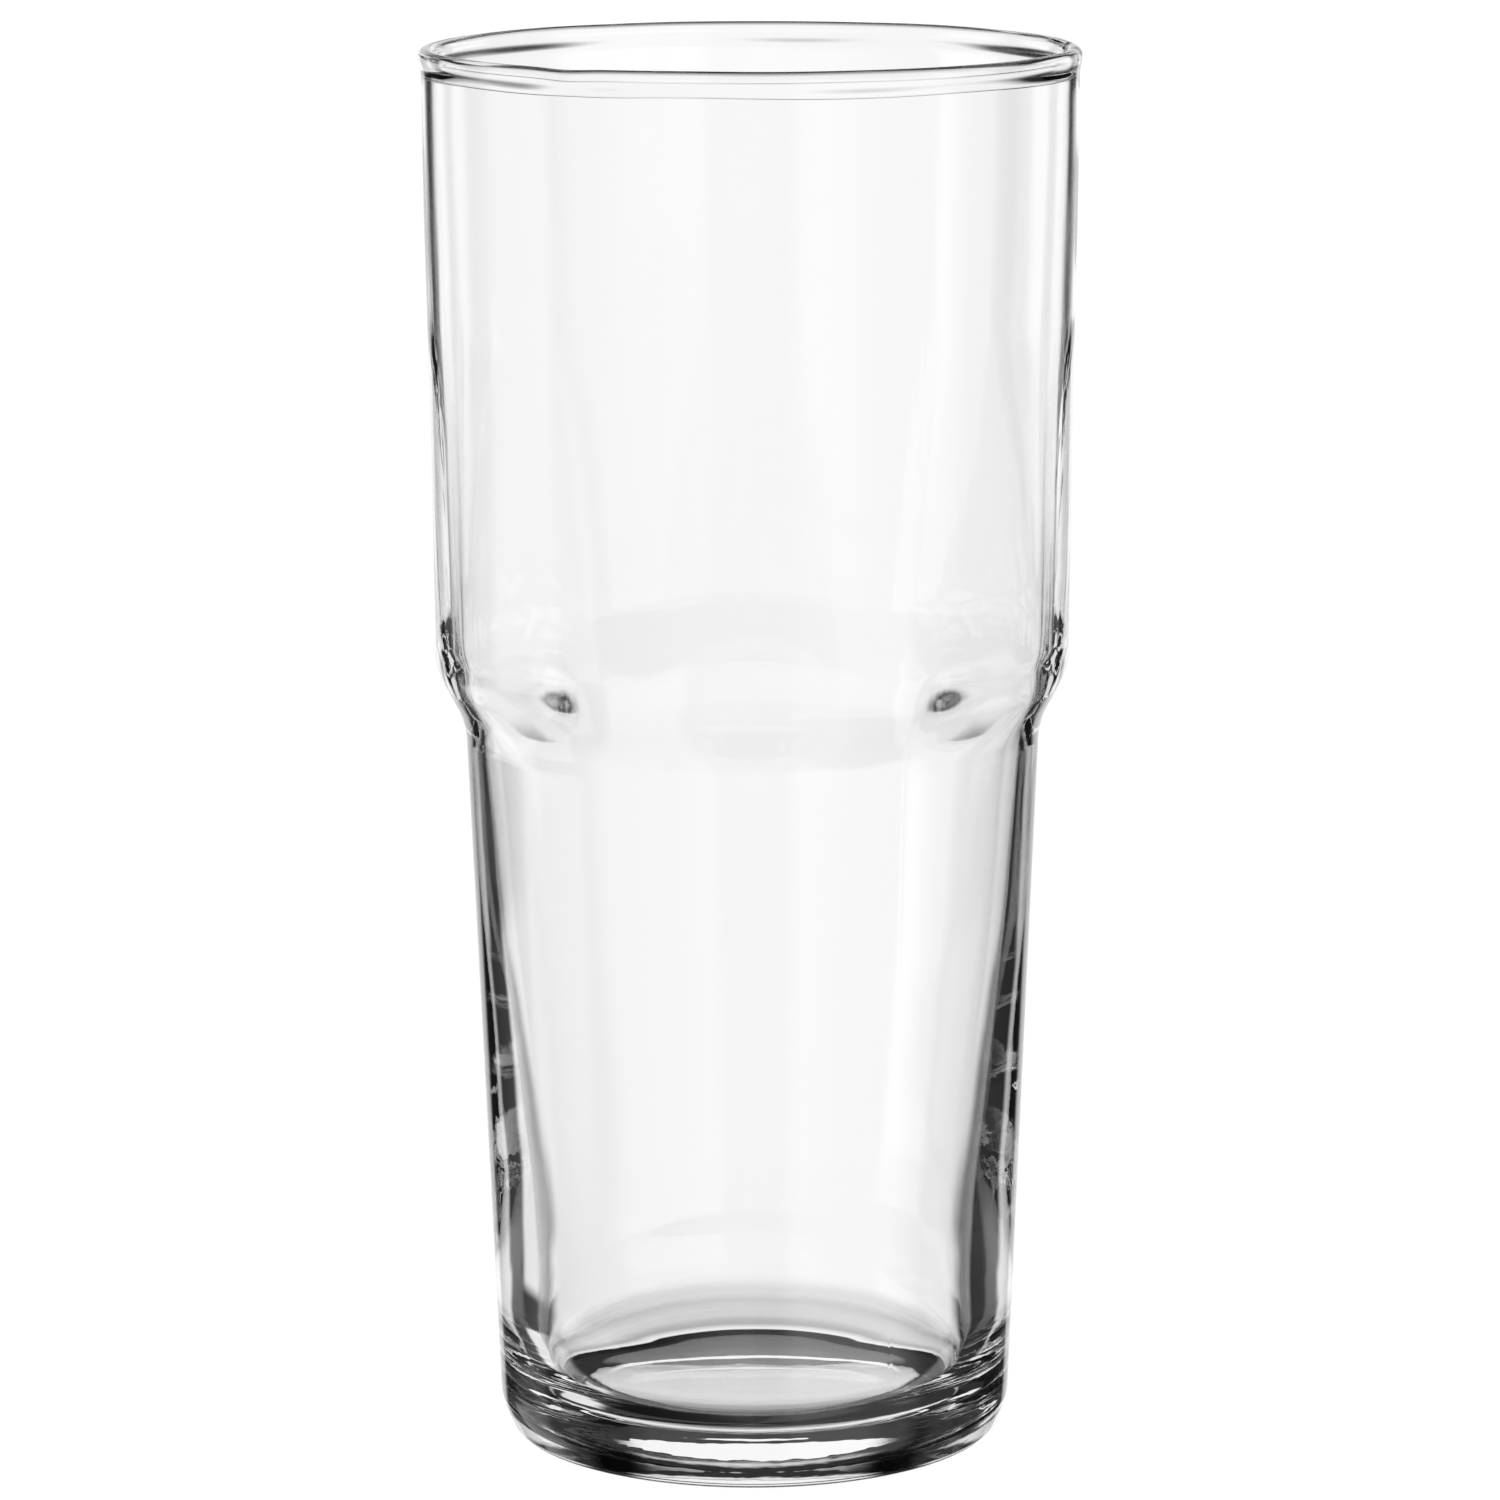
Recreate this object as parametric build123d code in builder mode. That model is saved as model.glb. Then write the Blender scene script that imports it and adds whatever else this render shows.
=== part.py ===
"""Stacking pint glass: one piece of pressed and fire-polished clear glass.

The glass is a wide upper body on a narrower lower body, joined by a rounded
shoulder. Inside the upper body the wall carries eight shallow upright flats
that start below the drinking rim, grow deeper downwards and run out on the
inner shoulder. The base is thick, with a softly rounded inner corner, a bearing
ring to stand on and a shallow push-up under the floor.

Frame: +Z up, origin on the axis at the plane the glass stands on. Millimetres.
"""

from build123d import *
import os

os.makedirs("parts", exist_ok=True)

# ---- driving dimensions, mm; pairs are (radius, height) ----
HEIGHT = 160.0  # foot to the top of the rim

# rim, fire polished to a round bead
RIM_R = 37.35  # outside radius of the bead
RIM_TUBE = 1.0  # half thickness of the bead

BEAD_OUT = (36.98, 156.9)  # where the outer wall leaves the bead
BEAD_IN = (35.74, 156.6)  # where the inner wall leaves the bead

# outer wall
UPPER_OUT = [(36.96, 154.0), (36.82, 140.5), (36.56, 126.9), (36.31, 108.7)]
UPPER_OUT_END = (36.18, 96.0)  # the wall is straight from here down
SHOULDER_TOP = (36.10, 89.5)  # corner between upper wall and shoulder slope
SHOULDER_LOW = (32.77, 83.4)  # corner between shoulder slope and lower wall
SHOULDER_TOP_FILLET = 7.9
SHOULDER_LOW_FILLET = 10.1
HEEL = (29.43, 3.60)  # corner between lower wall and foot bevel
HEEL_FILLET = 7.0
FOOT_R = 27.8  # where the foot bevel would meet the ground
FOOT_FILLET = 1.5

# underside
RING_IN = 25.2  # inner edge of the bearing ring
PUSH_UP = 1.2  # depth of the hollow under the floor

# inner wall
UPPER_IN = [(35.69, 148.4), (35.27, 131.5), (34.85, 112.0)]
UPPER_IN_END = (34.66, 99.0)  # the wall is straight from here down
IN_SHOULDER_TOP = (34.55, 90.2)
IN_SHOULDER_LOW = (30.95, 83.6)
IN_SHOULDER_FILLET = 12.0
LOWER_IN_START = (30.45, 76.6)  # the wall is straight above this
LOWER_IN = [(28.96, 56.5), (27.20, 38.7), (25.95, 26.8)]
LOWER_IN_END = (25.30, 17.0)
# soft corner between wall and floor, ending level with the floor
FLOOR_CURVE = [
    (25.06, 12.5),
    (24.35, 9.1),
    (22.75, 6.75),
    (20.4, 5.45),
    (17.4, 5.0),
    (14.0, 4.9),
]

# flats inside the upper body: distance of a flat from the axis, at height
FLATS = 8
FLAT_LINE = [
    (31.10, 81.5),
    (31.30, 84.5),
    (31.90, 87.0),
    (32.50, 89.0),
    (33.25, 91.0),
    (33.75, 96.5),
    (34.15, 106.0),
    (34.50, 114.0),
    (34.85, 122.0),
    (35.50, 134.0),
]
CUT_TOP = 175.0  # the cutting solids run out above the rim
CUT_OVER = 1.5  # and stand off the round wall where there are no flats


# ---- cavity: round inner wall, shoulder, lower wall and floor ----
with BuildPart() as cavity_round:
    with BuildSketch(Plane.XZ) as cavity_profile:
        with BuildLine():
            Line((0, CUT_TOP), (RIM_R - 2 * RIM_TUBE, CUT_TOP))
            rim_drop = Line(
                (RIM_R - 2 * RIM_TUBE, CUT_TOP),
                (RIM_R - 2 * RIM_TUBE, HEIGHT - RIM_TUBE),
            )
            lip = Spline(rim_drop @ 1, BEAD_IN, tangents=[(0, -1), (0, -1)])
            upper = Spline(
                lip @ 1,
                *UPPER_IN,
                UPPER_IN_END,
                tangents=[(0, -1), (-0.0133, -1)],
            )
            Line(upper @ 1, IN_SHOULDER_TOP)
            Line(IN_SHOULDER_TOP, IN_SHOULDER_LOW)
            Line(IN_SHOULDER_LOW, LOWER_IN_START)
            lower = Spline(
                LOWER_IN_START,
                *LOWER_IN,
                LOWER_IN_END,
                tangents=[(-0.0757, -1), (-0.0331, -1)],
            )
            corner_curve = Spline(
                lower @ 1,
                *FLOOR_CURVE,
                tangents=[(-0.0331, -1), (-1, 0)],
            )
            Line(corner_curve @ 1, (0, FLOOR_CURVE[-1][1]))
            Line((0, FLOOR_CURVE[-1][1]), (0, CUT_TOP))
        make_face()
        for corner, radius in (
            (IN_SHOULDER_TOP, IN_SHOULDER_FILLET),
            (IN_SHOULDER_LOW, IN_SHOULDER_FILLET),
        ):
            fillet(cavity_profile.vertices().sort_by_distance(corner)[0], radius)
    revolve(axis=Axis.Z)

# ---- stepped octagon that limits the cavity over the height of the flats ----
with BuildPart() as cavity_limit:
    for distance, height in FLAT_LINE:
        with BuildSketch(Plane.XY.offset(height)):
            RegularPolygon(
                distance,
                FLATS,
                major_radius=False,
                rotation=180 / FLATS,
            )
    loft(ruled=True)
    with BuildSketch(Plane.XY.offset(FLAT_LINE[0][1])):
        Circle(FLAT_LINE[0][0] + CUT_OVER)
    extrude(amount=-FLAT_LINE[0][1])
    with BuildSketch(Plane.XY.offset(FLAT_LINE[-1][1])):
        Circle(FLAT_LINE[-1][0] + CUT_OVER)
    extrude(amount=CUT_TOP - FLAT_LINE[-1][1])

with BuildPart() as cavity:
    add(cavity_round.part)
    add(cavity_limit.part, mode=Mode.INTERSECT)

# ---- the glass ----
with BuildPart() as glass_body:
    with BuildSketch(Plane.XZ) as outer_profile:
        with BuildLine():
            bead = CenterArc((RIM_R - RIM_TUBE, HEIGHT - RIM_TUBE), RIM_TUBE, 0, 180)
            neck = Spline(bead @ 0, BEAD_OUT, tangents=[(0, -1), (0, -1)])
            wall = Spline(
                neck @ 1,
                *UPPER_OUT,
                UPPER_OUT_END,
                tangents=[(0, -1), (-0.0123, -1)],
            )
            Polyline(
                wall @ 1,
                SHOULDER_TOP,
                SHOULDER_LOW,
                HEEL,
                (FOOT_R, 0),
                (RING_IN, 0),
            )
            punt = Spline(
                (RING_IN, 0),
                (RING_IN * 0.5, PUSH_UP * 0.80),
                (0, PUSH_UP),
                tangents=[(-1, 0.12), (-1, 0)],
            )
            Line(punt @ 1, (0, HEIGHT - RIM_TUBE))
            Line((0, HEIGHT - RIM_TUBE), bead @ 1)
        make_face()
        for corner, radius in (
            (SHOULDER_TOP, SHOULDER_TOP_FILLET),
            (SHOULDER_LOW, SHOULDER_LOW_FILLET),
            (HEEL, HEEL_FILLET),
            ((FOOT_R, 0), FOOT_FILLET),
        ):
            fillet(outer_profile.vertices().sort_by_distance(corner)[0], radius)
    revolve(axis=Axis.Z)
    add(cavity.part, mode=Mode.SUBTRACT)

glass_body.part.label = "glass_body"
export_step(glass_body.part, "parts/glass_body.step")
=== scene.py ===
import math

import bpy
import numpy as np
from mathutils import Matrix, Vector


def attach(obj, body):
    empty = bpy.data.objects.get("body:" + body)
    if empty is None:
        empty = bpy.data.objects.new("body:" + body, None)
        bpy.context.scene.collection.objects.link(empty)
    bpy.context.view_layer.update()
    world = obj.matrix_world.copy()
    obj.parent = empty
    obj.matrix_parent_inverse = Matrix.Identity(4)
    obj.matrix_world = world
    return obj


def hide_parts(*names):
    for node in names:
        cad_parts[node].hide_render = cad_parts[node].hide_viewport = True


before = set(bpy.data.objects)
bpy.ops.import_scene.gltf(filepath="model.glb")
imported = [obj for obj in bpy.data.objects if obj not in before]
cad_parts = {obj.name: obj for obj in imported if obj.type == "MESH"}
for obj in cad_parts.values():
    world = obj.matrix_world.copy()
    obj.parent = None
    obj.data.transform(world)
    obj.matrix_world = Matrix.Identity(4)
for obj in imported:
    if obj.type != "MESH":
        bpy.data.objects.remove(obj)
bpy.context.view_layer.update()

# ------------------------------------------------------------------ dimensions
# millimetres, pairs are (radius, height); the same numbers as the CAD part
HEIGHT = 160.0
RIM_R, RIM_TUBE = 37.35, 1.0
BEAD_OUT, BEAD_IN = (36.98, 156.9), (35.74, 156.6)  # where the wall leaves the bead
RIM_WAVE = 0.16  # largest dip of the hand-polished rim below its top
UPPER_OUT = [(36.96, 154.0), (36.82, 140.5), (36.56, 126.9), (36.31, 108.7)]
UPPER_OUT_END = (36.18, 96.0)
SHOULDER_TOP, SHOULDER_TOP_FILLET = (36.10, 89.5), 7.9
SHOULDER_LOW, SHOULDER_LOW_FILLET = (32.77, 83.4), 10.1
HEEL, HEEL_FILLET = (29.43, 3.60), 7.0
FOOT_R, FOOT_FILLET = 27.8, 1.5
RING_IN = 25.2
PUSH_UP = 1.2
UPPER_IN = [(35.69, 148.4), (35.27, 131.5), (34.85, 112.0)]
UPPER_IN_END = (34.66, 99.0)
IN_SHOULDER_TOP = (34.55, 90.2)
IN_SHOULDER_LOW = (30.95, 83.6)
IN_SHOULDER_FILLET = 12.0
LOWER_IN_START = (30.45, 76.6)
LOWER_IN = [(28.96, 56.5), (27.20, 38.7), (25.95, 26.8)]
LOWER_IN_END = (25.30, 17.0)
FLOOR_CURVE = [(25.06, 12.5), (24.35, 9.1), (22.75, 6.75), (20.4, 5.45), (17.4, 5.0), (14.0, 4.9)]
FLATS = 8
CREST = [(30.95, 82.0), (31.25, 84.5), (31.75, 87.0), (32.3, 89.0), (33.05, 91.0), (33.4, 93.5), (33.6, 96.5), (33.8, 100.0), (34.05, 106.0), (34.4, 114.0), (34.7, 120.0), (35.1, 127.0), (35.6, 135.0)]
RIB_KIND = "bump"
RIB_TURN = 0.0
RIB_HALF = 20.0
RIB_SOFT = 1.5
RIB_LIFT = 0.95
COLUMNS = 232
PARTING_Z = 6.2  # height of the line left on the heel by the joint of the mould
PARTING_LIFT = 0.008
WAVE = 1.0

V2 = lambda p: np.array(p, float)


def spline(points, t0, t1, step=1.0):
    """Smooth curve through points with end directions t0, t1 (cubic Hermite)."""
    p = [V2(q) for q in points]
    n = len(p)
    tangents = []
    for i in range(n):
        if i == 0:
            tangents.append(V2(t0) / np.linalg.norm(t0))
        elif i == n - 1:
            tangents.append(V2(t1) / np.linalg.norm(t1))
        else:
            a, b = p[i] - p[i - 1], p[i + 1] - p[i]
            la, lb = np.linalg.norm(a), np.linalg.norm(b)
            t = (a / la * lb + b / lb * la) / (la + lb)
            tangents.append(t / np.linalg.norm(t))
    out = [p[0]]
    for i in range(n - 1):
        d = np.linalg.norm(p[i + 1] - p[i])
        k = max(2, int(math.ceil(d / step)))
        for j in range(1, k + 1):
            s = j / k
            h00, h10 = 2 * s**3 - 3 * s**2 + 1, s**3 - 2 * s**2 + s
            h01, h11 = -2 * s**3 + 3 * s**2, s**3 - s**2
            out.append(
                h00 * p[i]
                + h10 * d * tangents[i]
                + h01 * p[i + 1]
                + h11 * d * tangents[i + 1]
            )
    return out


def rounded(points, radii, step=1.0, arc_step=4.0):
    """Polyline with its inner corners rounded to radii, straight runs cut to step."""
    p = [V2(q) for q in points]
    out = [p[0]]

    def run(to):
        d = np.linalg.norm(to - out[-1])
        k = max(1, int(math.ceil(d / step)))
        start = out[-1]
        for j in range(1, k + 1):
            out.append(start + (to - start) * j / k)

    for i in range(1, len(p) - 1):
        a, b = p[i] - p[i - 1], p[i + 1] - p[i]
        a, b = a / np.linalg.norm(a), b / np.linalg.norm(b)
        turn = math.acos(max(-1, min(1, float(a @ b))))
        r = radii[i - 1]
        t = r * math.tan(turn / 2)
        s, e = p[i] - a * t, p[i] + b * t
        run(s)
        side = 1.0 if a[0] * b[1] - a[1] * b[0] > 0 else -1.0
        centre = s + side * r * np.array([-a[1], a[0]])
        k = max(3, int(math.ceil(math.degrees(turn) / arc_step)))
        for j in range(1, k + 1):
            ang = side * turn * j / k
            c, sn = math.cos(ang), math.sin(ang)
            v = s - centre
            out.append(centre + np.array([c * v[0] - sn * v[1], sn * v[0] + c * v[1]]))
    run(p[-1])
    return out


# ------------------------------------------------------------------ profile
def outer_points():
    """Underside, foot, wall and shoulder, from the axis to the top of the rim."""
    punt = spline(
        [(0, PUSH_UP), (RING_IN * 0.5, PUSH_UP * 0.8), (RING_IN, 0)],
        (1, 0),
        (1, -0.12),
        step=1.6,
    )
    low = rounded(
        [(RING_IN, 0), (FOOT_R, 0), HEEL, SHOULDER_LOW, SHOULDER_TOP, UPPER_OUT_END],
        [FOOT_FILLET, HEEL_FILLET, SHOULDER_LOW_FILLET, SHOULDER_TOP_FILLET],
        step=3.0,
        arc_step=1.2,
    )
    low = [p for p in low if abs(p[1] - PARTING_Z) > 0.7 or p[0] < HEEL[0] - 2]
    near = [p for p in low if p[1] > PARTING_Z][0], [p for p in low if p[1] < PARTING_Z][-1]
    ridge = []
    for z in np.arange(PARTING_Z - 0.6, PARTING_Z + 0.61, 0.1):
        r = np.interp(z, [near[1][1], near[0][1]], [near[1][0], near[0][0]])
        ridge.append(V2((r + PARTING_LIFT * math.exp(-(((z - PARTING_Z) / 0.22) ** 2)), z)))
    at = next(i for i, p in enumerate(low) if p[1] > PARTING_Z)
    low = low[:at] + ridge + low[at:]
    wall = spline(
        [UPPER_OUT_END, *UPPER_OUT[::-1], BEAD_OUT],
        (0.0123, 1),
        (0.0, 1),
        step=3.4,
    )
    lip = spline([BEAD_OUT, (RIM_R, HEIGHT - RIM_TUBE)], (0.0, 1), (0, 1), step=0.2)
    return punt[:-1] + low[:-1] + wall[:-1] + lip[:-1]


def bead_points(n=22):
    c = V2((RIM_R - RIM_TUBE, HEIGHT - RIM_TUBE))
    return [
        c + RIM_TUBE * np.array([math.cos(a), math.sin(a)])
        for a in np.linspace(0, math.pi, n)
    ]


def inner_points():
    lip = spline(
        [(RIM_R - 2 * RIM_TUBE, HEIGHT - RIM_TUBE), BEAD_IN], (0, -1), (0, -1), step=0.2
    )
    wall = spline(
        [BEAD_IN, *UPPER_IN, UPPER_IN_END],
        (0, -1),
        (-0.0133, -1),
        step=1.7,
    )
    shoulder = rounded(
        [UPPER_IN_END, IN_SHOULDER_TOP, IN_SHOULDER_LOW, LOWER_IN_START],
        [IN_SHOULDER_FILLET, IN_SHOULDER_FILLET],
        step=0.7,
        arc_step=1.2,
    )
    lower = spline(
        [LOWER_IN_START, *LOWER_IN, LOWER_IN_END],
        (-0.0757, -1),
        (-0.0331, -1),
        step=2.6,
    )
    floor = spline(
        [LOWER_IN_END, *FLOOR_CURVE],
        (-0.0331, -1),
        (-1, 0),
        step=0.7,
    )
    floor += [V2((r, FLOOR_CURVE[-1][1])) for r in (10.0, 6.0, 3.0, 0.0)]
    return lip[1:-1] + wall[:-1] + shoulder[:-1] + lower[:-1] + floor


CREST_LINE = spline(CREST, V2(CREST[1]) - V2(CREST[0]), V2(CREST[-1]) - V2(CREST[-2]), step=0.5)
CREST_R = [c[0] for c in CREST_LINE]
CREST_Z = [c[1] for c in CREST_LINE]


def soft_min(a, b, k):
    h = np.clip(0.5 + 0.5 * (b - a) / k, 0, 1)
    return b * (1 - h) + a * h - k * h * (1 - h)


def inner_radius(r, z, theta):
    """Radius of the inner wall at each angle: round wall with shallow ribs."""
    step = 2 * math.pi / FLATS
    phi = (theta - math.radians(RIB_TURN) + step / 2) % step - step / 2
    if z <= CREST_Z[0] or z >= CREST_Z[-1]:
        return np.full_like(theta, r)
    crest = float(np.interp(z, CREST_Z, CREST_R))
    lift = max(0.0, r - crest) * RIB_LIFT
    if RIB_KIND == "bump":
        half = math.radians(RIB_HALF)
        w = np.where(np.abs(phi) < half, np.cos(np.clip(phi / half, -1, 1) * math.pi / 2) ** 2, 0.0)
        return r - lift * w
    k = RIB_SOFT * min(1.0, lift / 0.5)
    if k <= 0:
        return np.full_like(theta, r)
    return soft_min(np.full_like(theta, r), (r - lift) / np.cos(phi), k)


def rim_waves(theta):
    """Dips of the rim in mm and thinning of its bead, around the glass."""
    wave = (
        0.45 * np.sin(theta + 0.6)
        + 0.30 * np.sin(2 * theta + 2.1)
        + 0.22 * np.sin(5 * theta + 0.4)
        + 0.16 * np.sin(9 * theta + 1.9)
        + 0.10 * np.sin(14 * theta + 4.0)
    )
    wave = (wave - wave.min()) / (wave.max() - wave.min())
    # one small flow mark near the right-hand end and a kink at the front left
    turn = lambda a: (theta - math.radians(a) + math.pi) % (2 * math.pi) - math.pi
    mark = np.exp(-((turn(-7) / 0.035) ** 2)) + 0.6 * np.exp(-((turn(4) / 0.03) ** 2))
    kink = np.exp(-((turn(-123) / 0.09) ** 2))
    dip = RIM_WAVE * (wave + 1.1 * kink + 0.9 * mark)
    thin = 0.10 * (0.5 + 0.5 * np.sin(7 * theta + 1.0)) + 0.22 * mark + 0.12 * kink
    return dip - dip.min(), thin


def build_glass():
    outer, bead, inner = outer_points(), bead_points(), inner_points()
    theta = np.linspace(0, 2 * math.pi, COLUMNS, endpoint=False)
    rings, kinds = [], []
    for p in outer[1:]:
        rings.append((np.full(COLUMNS, p[0]), p[1]))
    for p in bead:
        rings.append((np.full(COLUMNS, p[0]), p[1]))
    for p in inner[:-1]:
        rings.append((inner_radius(p[0], p[1], theta), p[1]))
    verts = [(0, 0, outer[0][1] / 1000)]
    dip, pinch = rim_waves(theta)
    for radius, z in rings:
        near = min(1.0, max(0.0, (z - 148.0) / 10.0)) ** 2
        middle = RIM_R - RIM_TUBE
        tube = min(1.0, max(0.0, (z - 156.5) / 1.5))
        radius = radius - (radius - middle) * pinch * tube
        verts.extend(
            zip(
                radius * np.cos(theta) / 1000,
                radius * np.sin(theta) / 1000,
                (z - dip * near) / 1000,
            )
        )
    verts.append((0, 0, inner[-1][1] / 1000))
    faces = []
    first = lambda i: 1 + i * COLUMNS
    for j in range(COLUMNS):
        k = (j + 1) % COLUMNS
        faces.append((0, first(0) + k, first(0) + j))
    for i in range(len(rings) - 1):
        a, b = first(i), first(i + 1)
        for j in range(COLUMNS):
            k = (j + 1) % COLUMNS
            faces.append((a + j, a + k, b + k, b + j))
    last = first(len(rings) - 1)
    for j in range(COLUMNS):
        k = (j + 1) % COLUMNS
        faces.append((last + j, last + k, len(verts) - 1))
    mesh = bpy.data.meshes.new("glass")
    mesh.from_pydata([tuple(map(float, v)) for v in verts], [], faces)
    mesh.validate()
    mesh.polygons.foreach_set("use_smooth", [True] * len(mesh.polygons))
    mesh.update()
    obj = bpy.data.objects.new("glass", mesh)
    bpy.context.scene.collection.objects.link(obj)
    print("glass faces", len(mesh.polygons))
    return obj


# ------------------------------------------------------------------ materials
def glass_material():
    """Clear soda-lime glass: faint ripples, drawn streaks, a mould seam and wear."""
    m = bpy.data.materials.new("clear_glass")
    m.use_nodes = True
    t = m.node_tree
    b = t.nodes["Principled BSDF"]
    b.inputs["Base Color"].default_value = (1, 1, 1, 1)
    b.inputs["IOR"].default_value = 1.52
    b.inputs["Transmission Weight"].default_value = 1.0

    def node(kind, **values):
        n = t.nodes.new(kind)
        for k, v in values.items():
            if k in n.inputs:
                if hasattr(v, "is_linked"):
                    t.links.new(v, n.inputs[k])
                else:
                    n.inputs[k].default_value = v
            else:
                setattr(n, k, v)
        return n

    def calc(op, *args):
        n = t.nodes.new("ShaderNodeMath")
        n.operation = op
        for i, v in enumerate(args):
            if isinstance(v, (int, float)):
                n.inputs[i].default_value = v
            else:
                t.links.new(v, n.inputs[i])
        return n.outputs[0]

    def noise(scale, detail=1.0, rough=0.5, seed=0.0):
        """Noise on the object's own metres, stretched by scale along x, y, z."""
        mp = node("ShaderNodeMapping")
        t.links.new(place, mp.inputs["Vector"])
        mp.inputs["Scale"].default_value = scale
        mp.inputs["Location"].default_value = (seed, seed * 0.7, seed * 1.3)
        n = node("ShaderNodeTexNoise", Scale=1.0, Detail=detail, Roughness=rough)
        t.links.new(mp.outputs[0], n.inputs["Vector"])
        return n.outputs["Fac"]

    def band(value, lo, hi, a=0.0, c=1.0):
        n = node("ShaderNodeMapRange", interpolation_type="SMOOTHSTEP")
        t.links.new(value, n.inputs[0])
        for i, v in zip((1, 2, 3, 4), (lo, hi, a, c)):
            n.inputs[i].default_value = v
        return n.outputs[0]

    place = node("ShaderNodeTexCoord").outputs["Object"]
    xyz = node("ShaderNodeSeparateXYZ")
    t.links.new(place, xyz.inputs[0])
    x, y, z = xyz.outputs

    # heights of the surface in metres, all fractions of a tenth of a millimetre
    ripple = calc("MULTIPLY", noise((70, 70, 32), 1.5, 0.5, 3.0), 5.0e-5)
    # fine streaks drawn along the wall, strongest over the flats
    streak_zone = calc(
        "MULTIPLY", band(z, 0.070, 0.100), band(z, 0.112, 0.150, 1.0, 0.15)
    )
    streak = calc(
        "MULTIPLY",
        calc("MULTIPLY", noise((420, 420, 9), 2.0, 0.55, 8.0), 1.1e-5),
        streak_zone,
    )
    skin = calc("MULTIPLY", noise((900, 900, 500), 2.0, 0.5, 1.0), 5.0e-7)
    # chilled waves at the bottom, where the gob first touched the mould
    chill = calc(
        "MULTIPLY",
        calc("MULTIPLY", noise((210, 210, 700), 2.0, 0.6, 5.0), 1.6e-5),
        band(z, 0.006, 0.018, 1.0, 0.0),
    )
    # the seams of the two halves of the mould, a hair line on the outside
    seam_at = calc("ABSOLUTE", calc("ADD", calc("MULTIPLY", x, 0.86), calc("MULTIPLY", y, 0.51)))
    radius = calc("SQRT", calc("ADD", calc("MULTIPLY", x, x), calc("MULTIPLY", y, y)))
    outside = band(calc("SUBTRACT", radius, calc("MULTIPLY_ADD", z, 0.028, 0.0295)), -0.0004, 0.0, 0.0, 1.0)
    seam = calc(
        "MULTIPLY",
        calc("MULTIPLY", band(seam_at, 0.00005, 0.00035, 1.0, 0.0), 6.0e-6),
        calc("MULTIPLY", outside, band(noise((60, 60, 90), 1.0, 0.5, 2.0), 0.35, 0.6)),
    )
    height = calc("ADD", calc("ADD", ripple, streak), calc("ADD", skin, calc("ADD", chill, seam)))
    bump = node("ShaderNodeBump", Strength=WAVE, Distance=1.0)
    t.links.new(height, bump.inputs["Height"])
    t.links.new(bump.outputs[0], b.inputs["Normal"])

    # roughness: polished all over, faintly worn on the ground ring and the widest line
    ground = band(z, 0.00005, 0.0005, 0.10, 0.0)
    belt = calc(
        "MULTIPLY",
        calc("MULTIPLY", band(z, 0.0935, 0.0965), band(z, 0.0985, 0.1015, 1.0, 0.0)),
        calc("MULTIPLY", band(noise((500, 500, 1600), 3.0, 0.6, 7.0), 0.58, 0.72), 0.03),
    )
    belt = calc("MULTIPLY", belt, band(radius, 0.0360, 0.0361))
    haze = calc("MULTIPLY", band(noise((160, 160, 60), 3.0, 0.6, 4.0), 0.45, 0.75), 0.004)
    rough = calc("ADD", calc("ADD", calc("MULTIPLY", ground, noise((800, 800, 800), 2.0, 0.6, 6.0)), belt), haze)
    t.links.new(rough, b.inputs["Roughness"])
    return m


glass = build_glass()
glass.data.materials.append(glass_material())
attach(glass, "root")
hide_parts("glass_body")

# ------------------------------------------------------------------ floor
bpy.ops.mesh.primitive_circle_add(
    vertices=128, radius=6.0, fill_type="NGON", location=(0, 0, -0.0002)
)
floor = bpy.context.object
floor.name = "floor"
fm = bpy.data.materials.new("floor")
fm.use_nodes = True
fb = fm.node_tree.nodes["Principled BSDF"]
fb.inputs["Base Color"].default_value = (0.9, 0.9, 0.9, 1)
fb.inputs["Roughness"].default_value = 0.9
fb.inputs["Specular IOR Level"].default_value = 0.0
fb.inputs["Emission Color"].default_value = (1, 1, 1, 1)
fb.inputs["Emission Strength"].default_value = 1.0
floor.data.materials.append(fm)
floor.visible_transmission = False
floor.visible_glossy = False

# ------------------------------------------------------------------ studio light
world = bpy.data.worlds.new("studio")
bpy.context.scene.world = world
world.use_nodes = True
nt = world.node_tree
nt.nodes.clear()
out = nt.nodes.new("ShaderNodeOutputWorld")
bg = nt.nodes.new("ShaderNodeBackground")
nt.links.new(bg.outputs[0], out.inputs[0])
tc = nt.nodes.new("ShaderNodeTexCoord")
sep = nt.nodes.new("ShaderNodeSeparateXYZ")
nt.links.new(tc.outputs["Generated"], sep.inputs[0])


def math_node(op, a, b=None, c=None):
    n = nt.nodes.new("ShaderNodeMath")
    n.operation = op
    for i, v in enumerate((a, b, c)):
        if v is None:
            continue
        if isinstance(v, (int, float)):
            n.inputs[i].default_value = v
        else:
            nt.links.new(v, n.inputs[i])
    return n.outputs[0]


def ramp(fac, stops):
    n = nt.nodes.new("ShaderNodeValToRGB")
    n.color_ramp.interpolation = "EASE"
    e = n.color_ramp.elements
    while len(e) > 1:
        e.remove(e[-1])
    e[0].position, e[0].color = stops[0][0], (stops[0][1],) * 3 + (1,)
    for pos, val in stops[1:]:
        el = e.new(pos)
        el.color = (val,) * 3 + (1,)
    nt.links.new(fac, n.inputs[0])
    return n.outputs[0]


# azimuth 0 at +Y, positive towards +X; elevation 0 at the horizon
azimuth = math_node("ARCTAN2", sep.outputs[0], sep.outputs[1])
az01 = math_node("ADD", math_node("DIVIDE", azimuth, 2 * math.pi), 0.5)
elev = math_node("ARCSINE", sep.outputs[2])
el01 = math_node("ADD", math_node("DIVIDE", elev, math.pi), 0.5)
A = lambda deg: deg / 360 + 0.5
E = lambda deg: deg / 180 + 0.5
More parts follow.
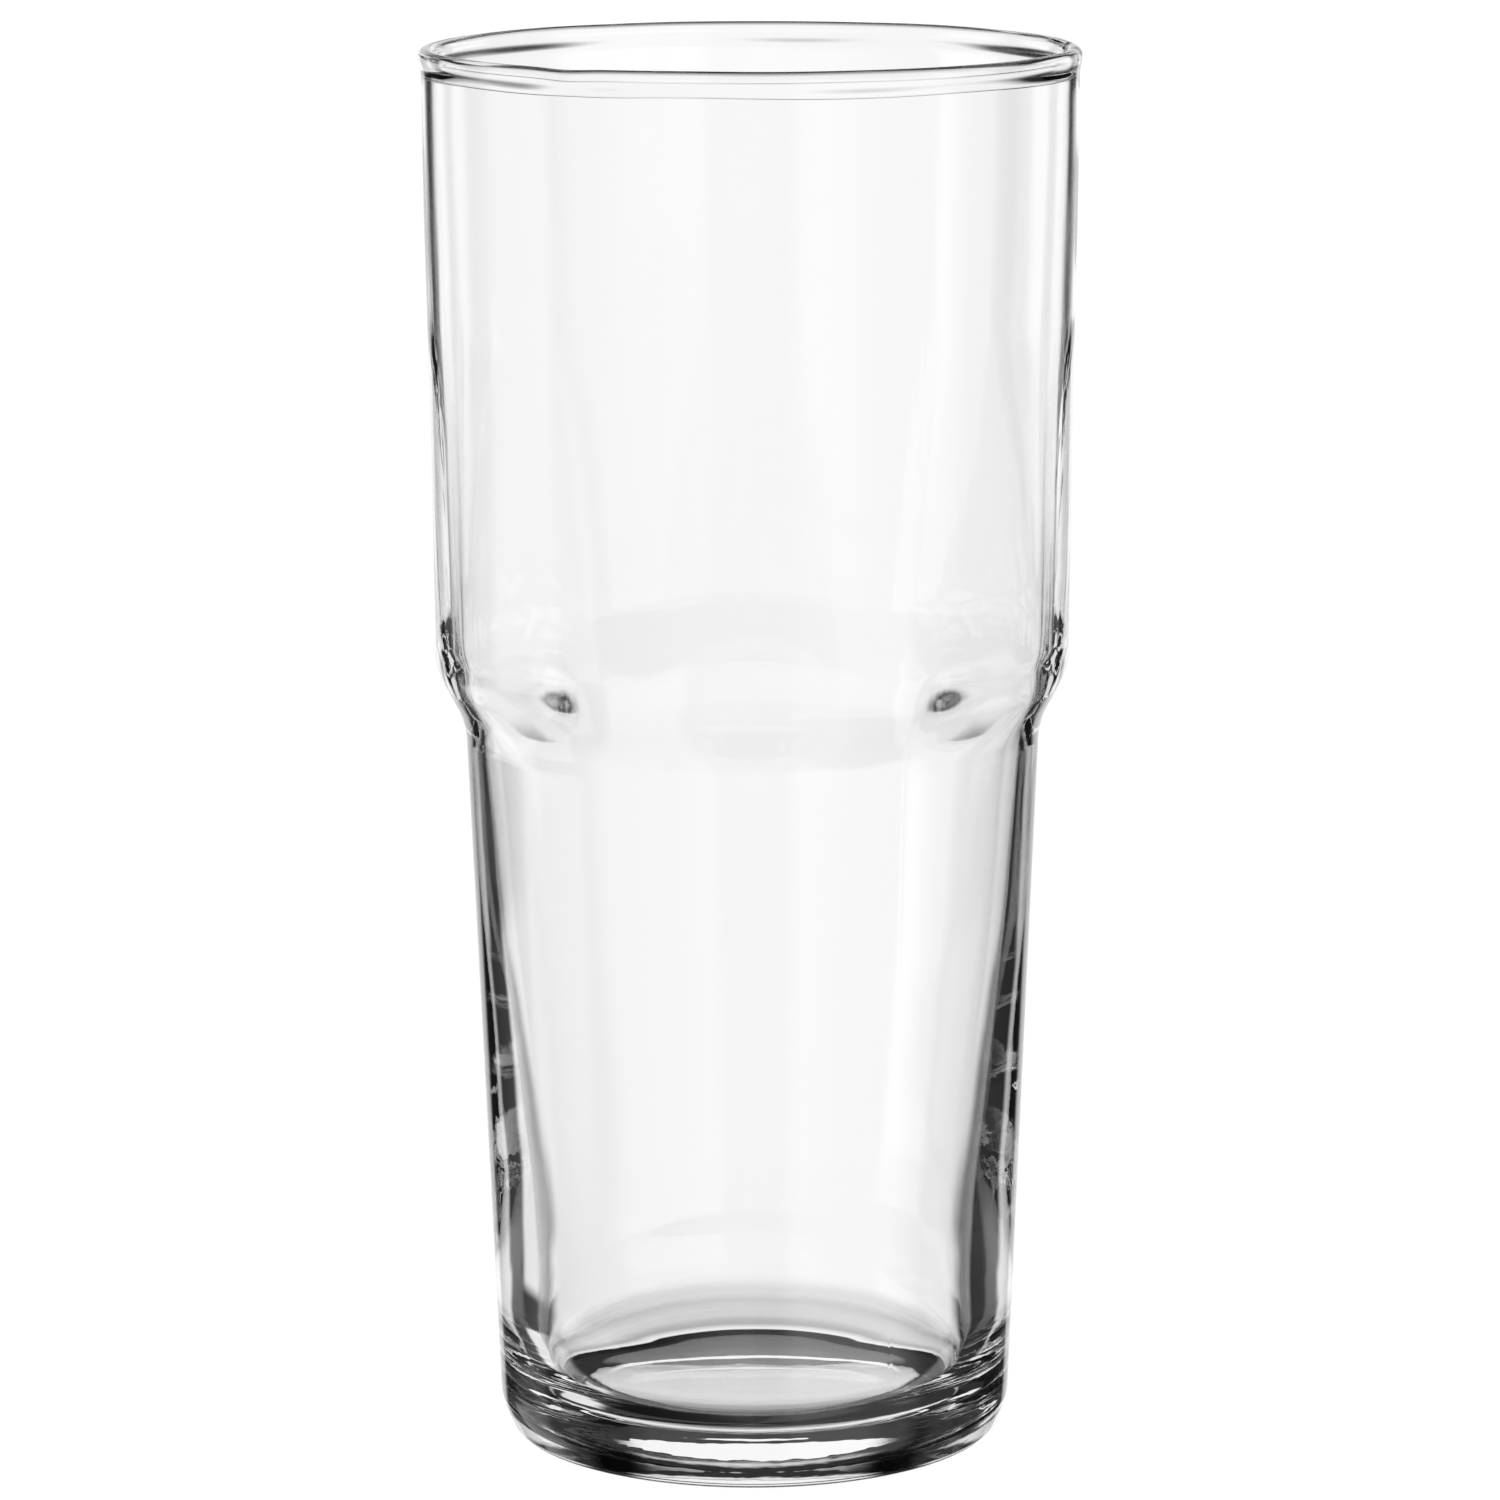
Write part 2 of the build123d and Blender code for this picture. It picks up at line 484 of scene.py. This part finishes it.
# brightness around the glass (azimuth, level): a white backdrop behind, side softboxes
# with dark gaps between them; below the softboxes' lower edge the gaps are wide
AROUND_HIGH = [(-180, 0.6), (-150, 0.5), (-118, 0.08), (-108, 0.08), (-102, 1.0), (-78, 1.0), (-72, 0.1), (-64, 0.1), (-58, 0.9), (-35, 1.0), (-29, 0.03), (-22.5, 0.03), (-17, 1.0), (17, 1.0), (22.5, 0.03), (29, 0.03), (35, 1.0), (60, 0.9), (68, 0.1), (95, 0.1), (112, 1.0), (158, 1.0), (170, 0.5)]
AROUND_MID = [(-180, 0.5), (-130, 0.1), (-112, 0.05), (-103, 0.95), (-77, 0.95), (-70, 0.05), (-27, 0.03), (-20.5, 1.0), (20.5, 1.0), (27, 0.03), (60, 0.03), (95, 0.1), (112, 1.0), (158, 1.0), (170, 0.4)]
AROUND_LOW = [(-180, 0.5), (-130, 0.1), (-75, 0.06), (-66, 0.9), (-42, 0.95), (-37, 0.06), (-23, 0.05), (-17, 1.0), (17, 1.0), (24, 0.03), (60, 0.03), (95, 0.1), (112, 1.0), (158, 1.0), (170, 0.4)]
SOFTBOX_EDGE = (-10.8, -8.6)  # elevation of the softboxes' lower edge, degrees
LOW_EDGE = (-19.5, -17.5)  # below this the low side light starts
# brightness by elevation, behind the glass and elsewhere
UP_BACK = [(-62, 0.05), (-50, 0.3), (-40, 0.5), (-31, 0.8), (-24, 1.0), (9, 1.0), (15, 0.03)]
UP_SIDE = [(-44, 0.05), (-36, 1.0), (9, 1.0), (15, 0.03)]
A_STOPS = lambda stops: [(A(a), v) for a, v in stops]
E_STOPS = lambda stops: [(E(e), v) for e, v in stops]

high = ramp(az01, A_STOPS(AROUND_HIGH))
low = ramp(az01, A_STOPS(AROUND_LOW))
edge = nt.nodes.new("ShaderNodeMapRange")
edge.interpolation_type = "SMOOTHSTEP"
edge.inputs[1].default_value, edge.inputs[2].default_value = map(
    math.radians, SOFTBOX_EDGE
)
nt.links.new(elev, edge.inputs[0])
mid = ramp(az01, A_STOPS(AROUND_MID))
low_edge = nt.nodes.new("ShaderNodeMapRange")
low_edge.interpolation_type = "SMOOTHSTEP"
low_edge.inputs[1].default_value, low_edge.inputs[2].default_value = map(
    math.radians, LOW_EDGE
)
nt.links.new(elev, low_edge.inputs[0])
low = math_node("MULTIPLY_ADD", math_node("SUBTRACT", mid, low), low_edge.outputs[0], low)
up_back = ramp(el01, E_STOPS(UP_BACK))
up_side = ramp(el01, E_STOPS(UP_SIDE))
behind = ramp(az01, A_STOPS([(-34, 0.0), (-24, 1.0), (24, 1.0), (34, 0.0)]))
up = math_node("MULTIPLY_ADD", math_node("SUBTRACT", up_back, up_side), behind, up_side)
mixed = math_node("MULTIPLY_ADD", math_node("SUBTRACT", high, low), edge.outputs[0], low)
level = math_node("MULTIPLY", mixed, up)
# the camera itself sees a plain white room past the glass
path = nt.nodes.new("ShaderNodeLightPath")
level = math_node("MAXIMUM", level, path.outputs["Is Camera Ray"])
nt.links.new(level, bg.inputs[0])
bg.inputs[1].default_value = 1.0

# ------------------------------------------------------------------ camera
CAM_D, CAM_Z, PITCH = 0.7282, 0.2176, 10.741
ROLL = 0.19
FOCAL_PX = 6475.1
cam_data = bpy.data.cameras.new("camera")
cam = bpy.data.objects.new("camera", cam_data)
bpy.context.scene.collection.objects.link(cam)
cam_data.sensor_width = 36
cam_data.lens = 36 * FOCAL_PX / 1500
cam_data.shift_x = 1.4 / 1500
cam.location = (0, -CAM_D, CAM_Z)
cam.rotation_euler = (math.radians(90 - PITCH), math.radians(ROLL), 0)
cam_data.clip_start, cam_data.clip_end = 0.01, 50
bpy.context.scene.camera = cam

sc = bpy.context.scene
sc.view_settings.view_transform = "Standard"
sc.view_settings.look = "None"
sc.view_settings.exposure = 0
sc.cycles.max_bounces = 40
sc.cycles.transmission_bounces = 40
sc.cycles.glossy_bounces = 24
sc.cycles.diffuse_bounces = 2
sc.cycles.caustics_reflective = False
sc.cycles.caustics_refractive = False
sc.cycles.sample_clamp_indirect = 0
